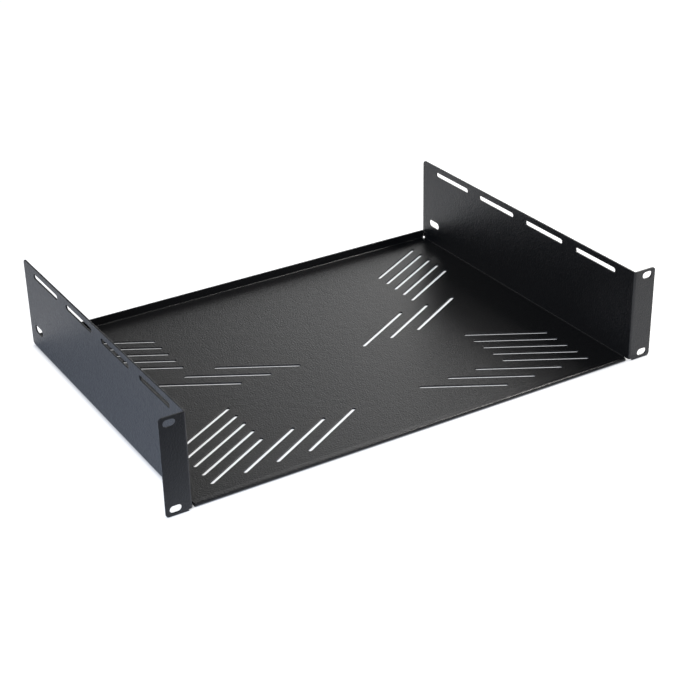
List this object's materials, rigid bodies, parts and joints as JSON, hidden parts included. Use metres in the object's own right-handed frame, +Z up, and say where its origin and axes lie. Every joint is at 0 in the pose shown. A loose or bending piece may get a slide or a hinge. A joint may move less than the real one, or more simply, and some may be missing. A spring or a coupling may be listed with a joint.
{
  "type": "cantilever rack shelf",
  "caption": "Cantilever shelf for an equipment rack, folded from sheet steel, with a vented floor, slotted side walls, front ears, a hemmed front edge and a rear lip.",
  "frame": {"origin": "middle of the underside, halfway between the ears' front faces and the lip's rear face", "axes": "+X across the rack, to the right as seen from the front; +Y towards the back of the rack; +Z up"},
  "size_m": [0.4826, 0.3304, 0.0876],
  "materials": {
    "black_powder_coat": "fine-textured semi-matte black powder coat on sheet steel"
  },
  "bodies": {
    "root": {"rack_shelf": "black_powder_coat"}
  },
  "joints": []
}
